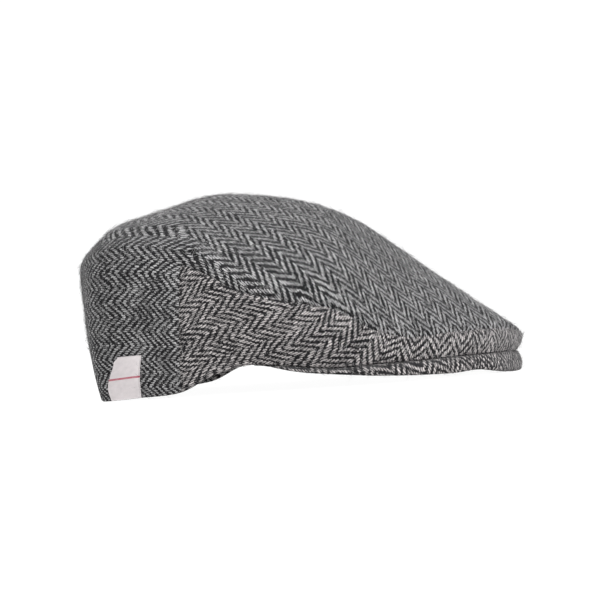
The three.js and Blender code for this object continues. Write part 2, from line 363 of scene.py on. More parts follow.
def side_weave(section, row, points):
    """The columns follow the panel's length, turned by an angle that grows towards the front."""
    from_front = np.minimum(section, LOOP - section)
    grid = np.linspace(0, BACK_SEAM, 361)
    middle = crown_points(grid, np.full_like(grid, 0.5))
    steps = np.linalg.norm(np.diff(middle, axis=0), axis=1)
    turn_by = np.radians(np.interp(grid, *zip(*TURN_AT)))
    turn_by = np.convolve(np.pad(turn_by, 15, mode="edge"), np.full(31, 1 / 31), mode="valid")
    mid_turn = (turn_by[1:] + turn_by[:-1]) / 2
    along = np.concatenate([[0], (-np.cos(mid_turn) * steps).cumsum()])
    across = np.concatenate([[0], (np.sin(mid_turn) * steps).cumsum()])
    local = np.interp(from_front, grid, turn_by)
    rise = (row - 0.5) * measured_wall(section)
    u = np.interp(from_front, grid, across) + rise * np.cos(local)
    v = np.interp(from_front, grid, along) + rise * np.sin(local)
    return np.stack([u, v, np.interp(from_front, *zip(*SIDE_STEEP_AT))], axis=-1)


print("length of the ridge, mm:", round(float(ridge_run[-1]), 1))

# %% [markdown]
# ## Easing the weave round the rear
# Behind the side seam the top bends down into the back wall, and no flat cloth does that without being
# eased. The columns there keep the top's direction as far as the surface lets them, and every thread
# should keep its spacing. Just above the fold and behind the seam the cloth is gathered, so columns and
# lines are closer there. All these wishes are differences between neighbours on a grid, and a fit by
# least squares gives the flat coordinates that meet them best. The grid starts a little ahead of the back
# seam, where it is tied to the top's straight weave. Conjugate gradients find the fit step by step
# without a large matrix.

# %% Rear of the crown
REAR_SECTIONS = np.linspace(8.4, 11.95, 72).round(4)
REAR_ROWS = np.linspace(0, 2, 101)
REAR_TURN = math.radians(50)
GATHERED = 0.4
# Dip of the columns towards the hem in degrees, for section numbers.
DIP_AT = ((8.4, 0), (9, 10), (9.9, 10), (10.8, 3), (12, 0))
# Share of extra cloth along the columns, for section numbers.
FULLER_AT = ((8.4, 0), (9, 0.25), (9.15, 0.5), (9.6, 0.5), (10, 0.35), (10.6, 0.1), (12, 0))


def fitted(wanted, weight, start, free):
    """Values on a grid whose differences along both grid directions come nearest the wanted ones."""
    def pull(first, second):
        total = np.zeros_like(start)
        total[1:] += weight[0] * first
        total[:-1] -= weight[0] * first
        total[:, 1:] += weight[1] * second
        total[:, :-1] -= weight[1] * second
        return total * free

    values = start.copy()
    rest = pull(wanted[0] - np.diff(values, axis=0), wanted[1] - np.diff(values, axis=1))
    way = rest.copy()
    size = (rest * rest).sum()
    for _ in range(3000):
        image = pull(np.diff(way, axis=0), np.diff(way, axis=1))
        step = size / (way * image).sum()
        values += step * way
        rest -= step * image
        before, size = size, (rest * rest).sum()
        if size < 1e-8:
            break
        way = rest + size / before * way
    return values


def eased_rear():
    section, row = np.meshgrid(REAR_SECTIONS, REAR_ROWS, indexing="ij")
    points = crown_points(section, row)
    normal = unit(np.cross(np.gradient(points, axis=1), np.gradient(points, axis=0)))
    turn = np.interp(lengthwise(points[..., 0]), slant_grid, slant_line)
    turn = turn + REAR_TURN * smooth(-85, -130, points[..., 0])
    along = np.stack([np.cos(turn), -np.sin(turn), 0 * turn], axis=-1)
    along = unit(along - (along * normal).sum(-1, keepdims=True) * normal)
    near_fold = smooth(0.98, 1.06, row) * smooth(1.36, 1.22, row) * smooth(8.4, 9.2, section)
    gathered = 1 + GATHERED * near_fold
    over = np.cross(along, normal)
    dip = np.radians(np.interp(section, *zip(*DIP_AT))) * smooth(1.2, 0.95, row)
    dip = dip[..., None]
    along, over = np.cos(dip) * along + np.sin(dip) * over, np.cos(dip) * over - np.sin(dip) * along
    over = over * gathered[..., None]
    fuller = np.interp(section, *zip(*FULLER_AT))
    along = along * (1 + fuller * smooth(1.3, 1.0, row))[..., None]
    steps = [np.diff(points, axis=k) for k in (0, 1)]
    sizes = [np.maximum(np.linalg.norm(step, axis=-1), 0.05) for step in steps]
    wide = [np.pad(sizes[k], [(k == 0, 0), (k == 1, 0)], mode="edge") for k in (0, 1)]
    cloth = (row >= 1) | (section >= BACK_SEAM)
    weight = [wide[1][1:] / sizes[0] * (cloth[1:] & cloth[:-1])]
    weight += [wide[0][:, 1:] / sizes[1] * (cloth[:, 1:] & cloth[:, :-1])]
    free = cloth & (section > REAR_SECTIONS[0])
    begin = top_weave(section, row, points)
    eased = []
    for k, direction in ((0, over), (1, along)):
        middle = (direction[1:] + direction[:-1]) / 2, (direction[:, 1:] + direction[:, :-1]) / 2
        wanted = [(step * way).sum(-1) for step, way in zip(steps, middle)]
        eased.append(fitted(wanted, weight, begin[..., k].copy(), free))
    steep = np.interp(section, *zip(*BACK_STEEP_AT))
    steep = TOP_STEEP + (steep - TOP_STEEP) * smooth(1.3, 0.95, row)
    return np.stack([*eased, steep], axis=-1)


rear_weave = eased_rear()


def back_weave(section, row, points):
    """Flat coordinates between the four nearest grid points, alike on the right and left."""
    number = np.minimum(section, LOOP - section)
    i = np.interp(number, REAR_SECTIONS, np.arange(len(REAR_SECTIONS)))
    j = np.interp(row, REAR_ROWS, np.arange(len(REAR_ROWS)))
    a = np.minimum(i.astype(int), len(REAR_SECTIONS) - 2)
    b = np.minimum(j.astype(int), len(REAR_ROWS) - 2)
    i, j = (i - a)[..., None], (j - b)[..., None]
    low = rear_weave[a, b] * (1 - j) + rear_weave[a, b + 1] * j
    high = rear_weave[a + 1, b] * (1 - j) + rear_weave[a + 1, b + 1] * j
    return low * (1 - i) + high * i


def crown_weave(section, row, points):
    """The top's straight columns in front, the eased ones from a little ahead of the back seam."""
    rear = np.minimum(section, LOOP - section) >= REAR_SECTIONS[0]
    return np.where(rear[..., None], back_weave(section, row, points), top_weave(section, row, points))


print("eased weave on a grid of", rear_weave.shape[0], "by", rear_weave.shape[1], "points")

# %% [markdown]
# ## Turning grids into thick cloth
# A panel is one or more grids of points. The builder below joins points that fall together, finds the
# open border, makes a second surface one cloth thickness inside, and closes the border. A free hem is
# rounded like a fold, a sewn border is straight because it hides in the seam. Every face corner keeps its
# flat coordinates in a UV layer called weave, which is what the pattern will read.

# %% Builder for thick cloth
HEM_STEPS = 5
# How far the weave moves on with each step round the hem.
HEM_SLIDE = np.array([0.3, 0.3, 0]) * CLOTH


def grid_faces(rows, cols, start):
    index = start + np.arange(rows * cols).reshape(rows, cols)
    corners = [index[:-1, :-1], index[:-1, 1:], index[1:, 1:], index[1:, :-1]]
    return np.stack(corners, axis=-1).reshape(-1, 4)


def new_mesh(name, points_mm, faces, uv=None, shift=True):
    points = np.array(points_mm, float)
    if shift:
        points = points + np.array([MIDDLE_X, 0, 0])
    mesh = bpy.data.meshes.new(name)
    mesh.from_pydata((points * 0.001).tolist(), [], [list(map(int, f)) for f in faces])
    if uv is not None:
        uv = np.asarray(uv, np.float32)
        mesh.uv_layers.new(name="weave").data.foreach_set("uv", uv[:, :2].ravel())
        mesh.attributes.new("steepness", "FLOAT", "CORNER").data.foreach_set("value", uv[:, 2].copy())
    mesh.polygons.foreach_set("use_smooth", [True] * len(mesh.polygons))
    mesh.update()
    piece = bpy.data.objects.new(name, mesh)
    bpy.context.scene.collection.objects.link(piece)
    return piece


def thick_cloth(name, patches):
    """Patches hold row, plain points, relief and weave, each on one grid."""
    plain = np.concatenate([p["points"].reshape(-1, 3) for p in patches])
    lift = np.concatenate([p["relief"].ravel() for p in patches])
    weave = np.concatenate([p["weave"].reshape(-1, 3) for p in patches])
    hem = np.concatenate([(p["row"] == 0).ravel() for p in patches])
    faces, start = [], 0
    for p in patches:
        faces.append(grid_faces(*p["row"].shape, start))
        start += p["row"].size
    faces = np.concatenate(faces)
    _, first, joined = np.unique(plain.round(3), axis=0, return_index=True, return_inverse=True)
    joined = joined.ravel()
    shared = joined[faces]
    whole = np.array([len(set(f)) == 4 for f in shared])
    slim = np.array([len(set(f)) == 3 for f in shared])
    centre = plain[first]
    normal = np.zeros_like(centre)
    corner = centre[shared]
    diagonal = np.cross(corner[:, 2] - corner[:, 0], corner[:, 3] - corner[:, 1])
    for k in range(4):
        np.add.at(normal, shared[:, k], diagonal)
    free = hem[first]
    normal[free, 2] = 0
    normal = unit(normal)
    outer = centre + normal * lift[first][:, None]
    inner = outer - normal * CLOTH
    kept = [(list(f), list(g)) for f, g, w in zip(shared, faces, whole) if w]
    for f, g in zip(shared[slim], faces[slim]):
        once = [k for k in range(4) if f[k] != f[k - 1]]
        kept.append(([f[k] for k in once], [g[k] for k in once]))
    edges = {}
    for f, g in kept:
        for k in range(len(f)):
            edges[(f[k], f[(k + 1) % len(f)])] = (g[k], g[(k + 1) % len(f)])
    border = [(edge, flat) for edge, flat in edges.items() if (edge[1], edge[0]) not in edges]
    count = len(outer)
    points = [outer, inner]
    total = 2 * count
    rim = {}
    ends = sorted({v for edge, _ in border for v in edge})
    below = {}
    for f, _ in kept:
        for k in range(len(f)):
            a, b = f[k], f[(k + 1) % len(f)]
            for here, there in ((a, b), (b, a)):
                if free[here] and not free[there]:
                    below[here] = unit(centre[here] - centre[there])
    for v in ends:
        chain = [v]
        for step in range(1, HEM_STEPS):
            angle = math.pi * step / HEM_STEPS
            if v in below:
                round_part = math.cos(angle) * normal[v] + math.sin(angle) * below[v]
                point = (outer[v] + inner[v]) / 2 + CLOTH / 2 * round_part
            else:
                point = outer[v] + (inner[v] - outer[v]) * step / HEM_STEPS
            points.append(point[None, :])
            chain.append(total)
            total += 1
        rim[v] = chain + [v + count]
    all_faces, uv = [], []
    for f, g in kept:
        all_faces.append(f)
        uv.extend(weave[g])
        all_faces.append([v + count for v in reversed(f)])
        uv.extend(weave[g[::-1]])
    for (a, b), (ga, gb) in border:
        for step in range(HEM_STEPS):
            all_faces.append([rim[b][step], rim[a][step], rim[a][step + 1], rim[b][step + 1]])
            here, there = HEM_SLIDE * step, HEM_SLIDE * (step + 1)
            uv.extend([weave[gb] + here, weave[ga] + here, weave[ga] + there, weave[gb] + there])
    return new_mesh(name, np.concatenate(points), all_faces, np.array(uv))


def patch(section_list, row_list, weave_of, piece):
    section, row = np.meshgrid(section_list, row_list, indexing="ij")
    if row_list[0] == 0:
        raise_by = CLOTH / 2 / measured_wall(section)
        place_row = raise_by + (1 - raise_by) * row
    else:
        place_row = row
    points = crown_points(section, place_row)
    weave = weave_of(section, place_row, points)
    lift = relief(section, place_row, points, piece)
    return {"row": row, "points": points, "weave": weave, "relief": lift}


print("hem is rounded in", HEM_STEPS, "steps")

# %% [markdown]
# ## The crown and the side panels
# The top runs over the head and down the back in one piece, so it is made of three kinds of patches: the
# top in front of the bend, the top behind it, and the back wall. The right and left side panels are one
# patch each.

# %% Crown top and side panels
front_right = columns[columns <= BACK_SEAM]
rear_right = columns[(columns >= BACK_SEAM) & (columns <= LOOP / 2)]
rear_left = columns[(columns >= LOOP / 2) & (columns <= LOOP - BACK_SEAM)]
front_left = columns[columns >= LOOP - BACK_SEAM]
crown_cloth = thick_cloth("crown_cloth", [
    patch(front_right, top_rows, crown_weave, "top"),
    patch(rear_right, top_rows, back_weave, "top"),
    patch(rear_left, top_rows, back_weave, "top"),
    patch(front_left, top_rows, crown_weave, "top"),
    patch(rear_right, wall_rows, back_weave, "back"),
    patch(rear_left, wall_rows, back_weave, "back"),
])
side_cloth_right = thick_cloth("side_cloth_right", [patch(front_right, wall_rows, side_weave, "side")])
side_cloth_left = thick_cloth("side_cloth_left", [patch(front_left, wall_rows, side_weave, "side")])
for piece, node in ((crown_cloth, "crown_top"), (side_cloth_right, "side_panel_right"),
                    (side_cloth_left, "side_panel_left")):
    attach(piece, "root")
    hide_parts(node)
    print(piece.name, len(piece.data.polygons), "faces")

# %% [markdown]
# ## The peak
# The peak is a stiff board covered in the same tweed. Its section goes from the head opening down to the
# crease, round the rolled rim and back underneath. A slab with a bevel would have the same edge all round,
# but one section swept round the front lets the roll grow thinner towards its ends. Splitting each
# section with a smooth closed curve rounds the roll.

# %% Peak
# Section numbers where the peak ends and where it stops growing broader.
PEAK_END = 6.85
PEAK_BROAD = 4.95
PEAK_BOARD = 3.2
# The head opening's middle and its two half lengths.
HEAD_MIDDLE, HEAD_LONG, HEAD_WIDE = 12, 66, 79
# Section number, half length and height of a low wave in the rim's lower edge.
WAVE_AT, WAVE_LONG, WAVE_HIGH = 1.55, 0.33, 1.7
# Angle between the rim's columns and its edge in degrees, for section numbers from the front.
RIM_TURN_AT = ((0, 90), (1.2, 82), (2.2, 68), (3.2, 56), (4.2, 46), (5.2, 40), (7, 40))
# Corners of the rim: distance outwards and share of the height from the floor to the crease.
RIM_SECTION = [(-4, 1), (0.6, 1), (2, 0.8), (3, 0.5), (2.6, 0.14), (1.4, 0), (-1.4, 0), (-4, 0.25)]
PEAK_COLUMNS = 220
PEAK_SUBSTEPS = 4


def peak_ring(section):
    base = base_loop(np.array([section]))[0]
    ground = max(float(floor_loop(np.array([section]))[0][0]), 0)
    crease = base[2] - 0.35
    ground = ground + WAVE_HIGH * math.exp(-(((abs(section) - WAVE_AT) / WAVE_LONG) ** 2))
    ground = crease - (crease - ground) * float(smooth(PEAK_END + 0.15, 5.5, abs(section)))
    broad = max(-PEAK_BROAD, min(PEAK_BROAD, section))
    angle = math.radians(75 * broad / PEAK_BROAD)
    opening = np.array([HEAD_MIDDLE + HEAD_LONG * math.cos(angle), -HEAD_WIDE * math.sin(angle), 0])
    toward = opening - base_loop(np.array([broad]))[0]
    toward[2] = 0
    width = float(np.linalg.norm(toward))
    toward = toward / width
    outward = outward_at(np.array([section]))[0]
    shrink = min(1, width / 14)
    reveal = min(1, (PEAK_END - abs(section)) / 0.9)
    ring = []
    for out, rise in RIM_SECTION:
        point = base + (outward * out * reveal if out > 0 else toward * -out * shrink)
        ring.append([point[0], point[1], ground + rise * (crease - ground)])
    board = min(PEAK_BOARD, 0.75 * (crease - ground))
    lift = 0.25 * width
    head = base + toward * width
    head = np.array([head[0], head[1], crease + lift])
    sweep = base + toward * 0.6 * width
    sweep = np.array([sweep[0], sweep[1], crease + 0.7 * lift])
    drop = np.array([0, 0, board])
    return np.array([head, sweep, *ring, sweep - drop, head - drop])


def rounded_ring(ring):
    """A closed Catmull-Rom curve through the ring, with extra points between its corners."""
    curve = closed_loop(ring)
    return curve(np.arange(0, len(ring), 1 / PEAK_SUBSTEPS))


print("peak rim has", len(RIM_SECTION) * PEAK_SUBSTEPS, "points round its section")

# %% Peak mesh
stations = np.linspace(-PEAK_END, PEAK_END, PEAK_COLUMNS + 1)
peak_points = np.stack([rounded_ring(peak_ring(s)) for s in stations])
peak_points[..., 2] = np.maximum(peak_points[..., 2], 0)
size = peak_points.shape[1]
closed_ring = np.concatenate([peak_points, peak_points[:, :1]], axis=1)
lengths = np.linalg.norm(np.diff(closed_ring, axis=1), axis=-1)
lengths = np.concatenate([np.zeros((len(stations), 1)), lengths.cumsum(1)], axis=1)
crease_at = 3 * PEAK_SUBSTEPS
lengths = lengths - lengths[:, crease_at:crease_at + 1]
edge_steps = np.linalg.norm(np.diff(base_loop(stations), axis=0), axis=1)
rim_turn = np.radians(np.interp(np.abs(stations), *zip(*RIM_TURN_AT)))
step_turn = (rim_turn[1:] + rim_turn[:-1]) / 2
forwards = np.where(stations[1:] > 1e-6, -1, 1)
rim_u = np.concatenate([[0], (np.sin(step_turn) * edge_steps * forwards).cumsum()])[:, None]
rim_v = np.concatenate([[0], (np.cos(step_turn) * edge_steps * forwards).cumsum()])[:, None]
middle = PEAK_COLUMNS // 2
rim_u = rim_u - rim_u[middle] - np.cos(rim_turn)[:, None] * lengths
rim_v = rim_v + np.sin(rim_turn)[:, None] * lengths
rim_steep = np.interp(np.abs(stations), *zip(*PEAK_STEEP_AT))[:, None] + 0 * lengths
peak_weave = np.stack([rim_u, rim_v, rim_steep], -1)
faces, uv = [], []
for i in range(PEAK_COLUMNS):
    for k in range(size):
        n = (k + 1) % size
        faces.append([i * size + k, (i + 1) * size + k, (i + 1) * size + n, i * size + n])
        uv.extend([peak_weave[i, k], peak_weave[i + 1, k], peak_weave[i + 1, k + 1], peak_weave[i, k + 1]])
for i, turned in ((0, False), (PEAK_COLUMNS, True)):
    ring = [i * size + k for k in range(size)]
    faces.append(ring[::-1] if turned else ring)
    uv.extend([peak_weave[i, k] for k in (reversed(range(size)) if turned else range(size))])
peak_cloth = new_mesh("peak_cloth", peak_points.reshape(-1, 3), faces, np.array(uv))
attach(peak_cloth, "root")
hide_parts("peak")
print("peak_cloth", len(peak_cloth.data.polygons), "faces")

# %% [markdown]
# ## The label
# The label is a narrow strip of woven ribbon, sewn to the back wall near the hem, leaning a little
# outwards at its lower corner. A flat plane would cut into the bowed wall, so it is a thin grid laid on
# the wall's own surface, with a second surface behind it.

# %% Label
LABEL_COLUMNS, LABEL_ROWS = 28, 44
# Upper and lower edge as shares of the wall's height, and the ribbon's thickness.
LABEL_TOP, LABEL_FOOT, RIBBON = 0.32, 0.003, 0.7
label_down, label_across = np.linspace(0, 1, LABEL_ROWS + 1), np.linspace(0, 1, LABEL_COLUMNS + 1)
down, across = np.meshgrid(label_down, label_across, indexing="ij")
front_side = 9.735 + 0.145 * down + 0.02 * np.sin(math.pi * down)
back_side = 10.25 + 0.1 * smooth(0, 0.12, down) + 0.25 * smooth(0.05, 0.8, down)
back_side = back_side + 0.05 * np.sin(math.pi * down ** 1.4)
section = front_side + (back_side - front_side) * across
height = LABEL_TOP + (LABEL_FOOT - LABEL_TOP) * down
stand_off = 0.5 + 0.5 * down * across + 0.25 * np.sin(3.1 * across + 4 * down) * down
label_front = crown_points(section, height) + outward_at(section) * (stand_off + RIBBON)[..., None]
label_back = crown_points(section, height) + outward_at(section) * stand_off[..., None]
stride = LABEL_COLUMNS + 1
count = label_front.shape[0] * stride
front_faces = grid_faces(LABEL_ROWS + 1, stride, 0)
back_faces = grid_faces(LABEL_ROWS + 1, stride, count)[:, ::-1]
edge = [j for j in range(stride)] + [i * stride + LABEL_COLUMNS for i in range(1, LABEL_ROWS + 1)]
edge += [LABEL_ROWS * stride + j for j in range(LABEL_COLUMNS - 1, -1, -1)]
edge += [i * stride for i in range(LABEL_ROWS - 1, 0, -1)]
rim_faces = [[a, b, b + count, a + count] for a, b in zip(edge, edge[1:] + edge[:1])]
label_faces = [list(f) for f in front_faces] + [list(f) for f in back_faces] + rim_faces
flat = np.stack([(across - 0.5) * (13 + 6 * down), -26 * down, 0 * down], axis=-1).reshape(-1, 3)
flat = np.concatenate([flat, flat])
label_uv = np.array([flat[v] for f in label_faces for v in f])
label_points = np.concatenate([label_front.reshape(-1, 3), label_back.reshape(-1, 3)])
label_cloth = new_mesh("label_cloth", label_points, label_faces, label_uv)
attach(label_cloth, "root")
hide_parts("label")
print("label_cloth", len(label_cloth.data.polygons), "faces")

# %% [markdown]
# ## Node helpers
# Shader node trees are long to write by hand, so small helpers add a node, set or link its inputs and
# give back an output. A number given as an input sets the socket, a socket given as an input is linked.
# The last helper starts a node group, which several materials can share.

# %% Node helpers


def add_node(tree, kind, inputs=None, **settings):
    node = tree.nodes.new(kind)
    for key, value in settings.items():
        setattr(node, key, value)
    for key, value in (inputs or {}).items():
        socket = node.inputs[key]
        if isinstance(value, bpy.types.NodeSocket):
            tree.links.new(value, socket)
        else:
            socket.default_value = value
    return node


def maths(tree, operation, *values):
    node = add_node(tree, "ShaderNodeMath", dict(enumerate(values)), operation=operation)
    return node.outputs[0]


def between(tree, value, low, high, to_low=0.0, to_high=1.0, kind="SMOOTHSTEP"):
    node = add_node(tree, "ShaderNodeMapRange", {
        "Value": value, "From Min": low, "From Max": high, "To Min": to_low, "To Max": to_high,
    }, interpolation_type=kind)
    return node.outputs["Result"]


def mixed(tree, factor, a, b, blend="MIX"):
    node = add_node(tree, "ShaderNodeMix", data_type="RGBA", blend_type=blend)
    for socket, value in ((node.inputs[0], factor), (node.inputs[6], a), (node.inputs[7], b)):
        if isinstance(value, bpy.types.NodeSocket):
            tree.links.new(value, socket)
        else:
            socket.default_value = value
    return node.outputs[2]


def new_group(name, inputs, outputs):
    tree = bpy.data.node_groups.new(name, "ShaderNodeTree")
    for label, kind, value in inputs:
        socket = tree.interface.new_socket(label, in_out="INPUT", socket_type=kind)
        if value is not None:
            socket.default_value = value
    for label, kind in outputs:
        tree.interface.new_socket(label, in_out="OUTPUT", socket_type=kind)
    return tree, tree.nodes.new("NodeGroupInput").outputs, tree.nodes.new("NodeGroupOutput").inputs


print("node helpers ready")

# %% [markdown]
# ## The herringbone group
# A herringbone is a twill that turns round in every column, so its lines zigzag. Ping-pong of U gives the
# zigzag, and V plus a multiple of that zigzag is the phase of the twill lines. Rounding U to whole yarns
# breaks the lines into the short floats that real yarns make. Slow noise bends the whole pattern a
# little, because wool is never quite straight, and it comes before everything else so that lines and
# yarns stay together.

# %% Herringbone group: twill lines
weave_tree, given, result = new_group(
    "Herringbone weave",
    [("Column width", "NodeSocketFloat", 8.0), ("Repeat", "NodeSocketFloat", 5.95),
     ("Yarn width", "NodeSocketFloat", 1.2), ("Softness", "NodeSocketFloat", 0.35),
     ("Light share", "NodeSocketFloat", 0.0)],
    [("Light", "NodeSocketFloat"), ("Height", "NodeSocketFloat"), ("Tone", "NodeSocketFloat"),
     ("Roundness", "NodeSocketFloat"), ("Turned", "NodeSocketFloat"), ("Patch", "NodeSocketFloat")],
)
flat_place = add_node(weave_tree, "ShaderNodeUVMap", uv_map="weave").outputs["UV"]


def noise(tree, place, scale, detail=2.0, output="Fac"):
    node = add_node(tree, "ShaderNodeTexNoise", {"Vector": place, "Scale": scale, "Detail": detail},
                    noise_dimensions="2D")
    return node.outputs[output]


def shaken(tree, place, scale, distance):
    """The place moved by noise of the given scale, by up to half the distance each way."""
    colour = noise(tree, place, scale, output="Color")
    centred = add_node(tree, "ShaderNodeVectorMath", {0: colour, 1: (0.5, 0.5, 0.5)}, operation="SUBTRACT")
    sized = add_node(tree, "ShaderNodeVectorMath", {0: centred.outputs[0], "Scale": distance},
                     operation="SCALE")
    total = add_node(tree, "ShaderNodeVectorMath", {0: place, 1: sized.outputs[0]}, operation="ADD")
    return total.outputs[0]


moved = flat_place
for scale, distance in ((0.1, 1.8), (0.45, 0.7), (1.2, 0.55)):
    moved = shaken(weave_tree, moved, scale, distance)
parts = add_node(weave_tree, "ShaderNodeSeparateXYZ", {0: moved}).outputs
u, v = parts[0], parts[1]
yarn = maths(weave_tree, "DIVIDE", u, given["Yarn width"])
yarn_number = maths(weave_tree, "FLOOR", yarn)
yarn_middle = maths(weave_tree, "MULTIPLY", maths(weave_tree, "ADD", yarn_number, 0.5), given["Yarn width"])
zigzag = maths(weave_tree, "PINGPONG", u, given["Column width"])
stepped = maths(weave_tree, "PINGPONG", yarn_middle, given["Column width"])
bend = add_node(weave_tree, "ShaderNodeMix", {0: 0.88, 2: zigzag, 3: stepped}).outputs[0]
steepness = add_node(weave_tree, "ShaderNodeAttribute", attribute_name="steepness").outputs["Fac"]
phase = maths(weave_tree, "DIVIDE", maths(weave_tree, "MULTIPLY_ADD", bend, steepness, v), given["Repeat"])
column = maths(weave_tree, "FLOOR", maths(weave_tree, "DIVIDE", u, given["Column width"]))
turned = maths(weave_tree, "FLOORED_MODULO", column, 2.0)
phase = maths(weave_tree, "MULTIPLY_ADD", turned, 0.18, phase)
wave = maths(weave_tree, "COSINE", maths(weave_tree, "MULTIPLY", phase, 2 * math.pi))
print("twill lines use", len(weave_tree.nodes), "nodes")

# %% [markdown]
# The second half turns the smooth wave into yarns. Each yarn has thick and thin places, stray hairs blur
# its edges, and every float has its own tone. Patch is a slow mask that the materials use where the nap
# is longer.

# %% Herringbone group: yarns
yarn_place = add_node(weave_tree, "ShaderNodeCombineXYZ", {
    0: maths(weave_tree, "MULTIPLY", yarn_number, 7.31),
    1: maths(weave_tree, "MULTIPLY", v, 0.22),
}).outputs[0]
slub = noise(weave_tree, yarn_place, 1.0)
hair_place = add_node(weave_tree, "ShaderNodeVectorMath", {0: moved, 1: (1.5, 0.75, 0.0)},
                      operation="MULTIPLY").outputs[0]
hair = noise(weave_tree, hair_place, 0.9, 3.0)
half_turn = maths(weave_tree, "MULTIPLY", maths(weave_tree, "FRACT", yarn), math.pi)
roundness = maths(weave_tree, "SINE", half_turn)
patch_mask = noise(weave_tree, flat_place, 0.07)
uneven = given["Light share"]
# Each mask, its mean value, and how strongly it moves the edge of the light lines.
EDGE_MASKS = ((patch_mask, 0.5, 1.2), (slub, 0.5, 2.0), (roundness, 0.64, 1.0), (hair, 0.5, 3.6))
for value, mean, strength in EDGE_MASKS:
    centred = maths(weave_tree, "SUBTRACT", value, mean)
    uneven = maths(weave_tree, "MULTIPLY_ADD", centred, strength, uneven)
ragged = maths(weave_tree, "ADD", wave, uneven)
low_edge = maths(weave_tree, "MULTIPLY", given["Softness"], -1.0)
light = between(weave_tree, ragged, low_edge, given["Softness"])
float_number = add_node(weave_tree, "ShaderNodeCombineXYZ", {
    0: yarn_number, 1: maths(weave_tree, "FLOOR", maths(weave_tree, "ADD", phase, 0.25))}).outputs[0]
tone = add_node(weave_tree, "ShaderNodeTexWhiteNoise", {"Vector": float_number},
                noise_dimensions="2D").outputs[0]
turns = maths(weave_tree, "MULTIPLY", yarn, 0.9)
twist = maths(weave_tree, "ADD", maths(weave_tree, "DIVIDE", v, 1.3), turns)
twist = maths(weave_tree, "MULTIPLY_ADD", slub, 3.0, maths(weave_tree, "MULTIPLY_ADD", hair, 1.5, twist))
twist = maths(weave_tree, "MULTIPLY", maths(weave_tree, "PINGPONG", twist, 0.5), 2.0)
tone = add_node(weave_tree, "ShaderNodeMix", {0: 0.5, 2: tone, 3: twist}).outputs[0]
height = maths(weave_tree, "MULTIPLY_ADD", wave, 0.35, maths(weave_tree, "MULTIPLY", roundness, 0.3))
height = maths(weave_tree, "MULTIPLY_ADD", hair, 0.6, height)
outputs = {"Light": light, "Height": height, "Tone": tone, "Roundness": roundness, "Turned": turned,
           "Patch": patch_mask}
for label, socket in outputs.items():
    weave_tree.links.new(socket, result[label])
print("herringbone group has", len(weave_tree.nodes), "nodes")

# %% [markdown]
# ## The tweed materials
# Light yarns are off-white and a little warm, dark yarns nearly black; a light yarn darkens towards its
# edges, painted shade of its round form. The nap greys the pattern a little everywhere, and where the
# cloth faces up it greys it more, painted sheen of light grazing the top. On the top every second column
# is greyed more where it faces up, painted sheen too. Cloth that faces forwards is mixed towards a
# lighter grey, painted light from the front. Sheen stands for the fine hairs that catch light at the edge
# of the form. The top, the sides and the peak share the herringbone group, each with its own values; the
# peak's copy has fewer light yarns, painted shade for the rim that lies in shade.

# %% Tweed materials
TOP_YARN = ((0.08, 0.08, 0.081, 1), (0.78, 0.775, 0.78, 1))
SIDE_YARN = ((0.09, 0.086, 0.086, 1), (0.9, 0.845, 0.835, 1))
DARK_YARN = ((0.004, 0.004, 0.005, 1), (0.026, 0.025, 0.027, 1))
# Grey of the nap; it also carries the painted sheen on upward cloth.
NAP = (0.105, 0.106, 0.109, 1)
# A lighter grey for cloth facing forwards: painted light from the front.
PAINTED_FRONT_LIGHT = (0.17, 0.169, 0.173, 1)


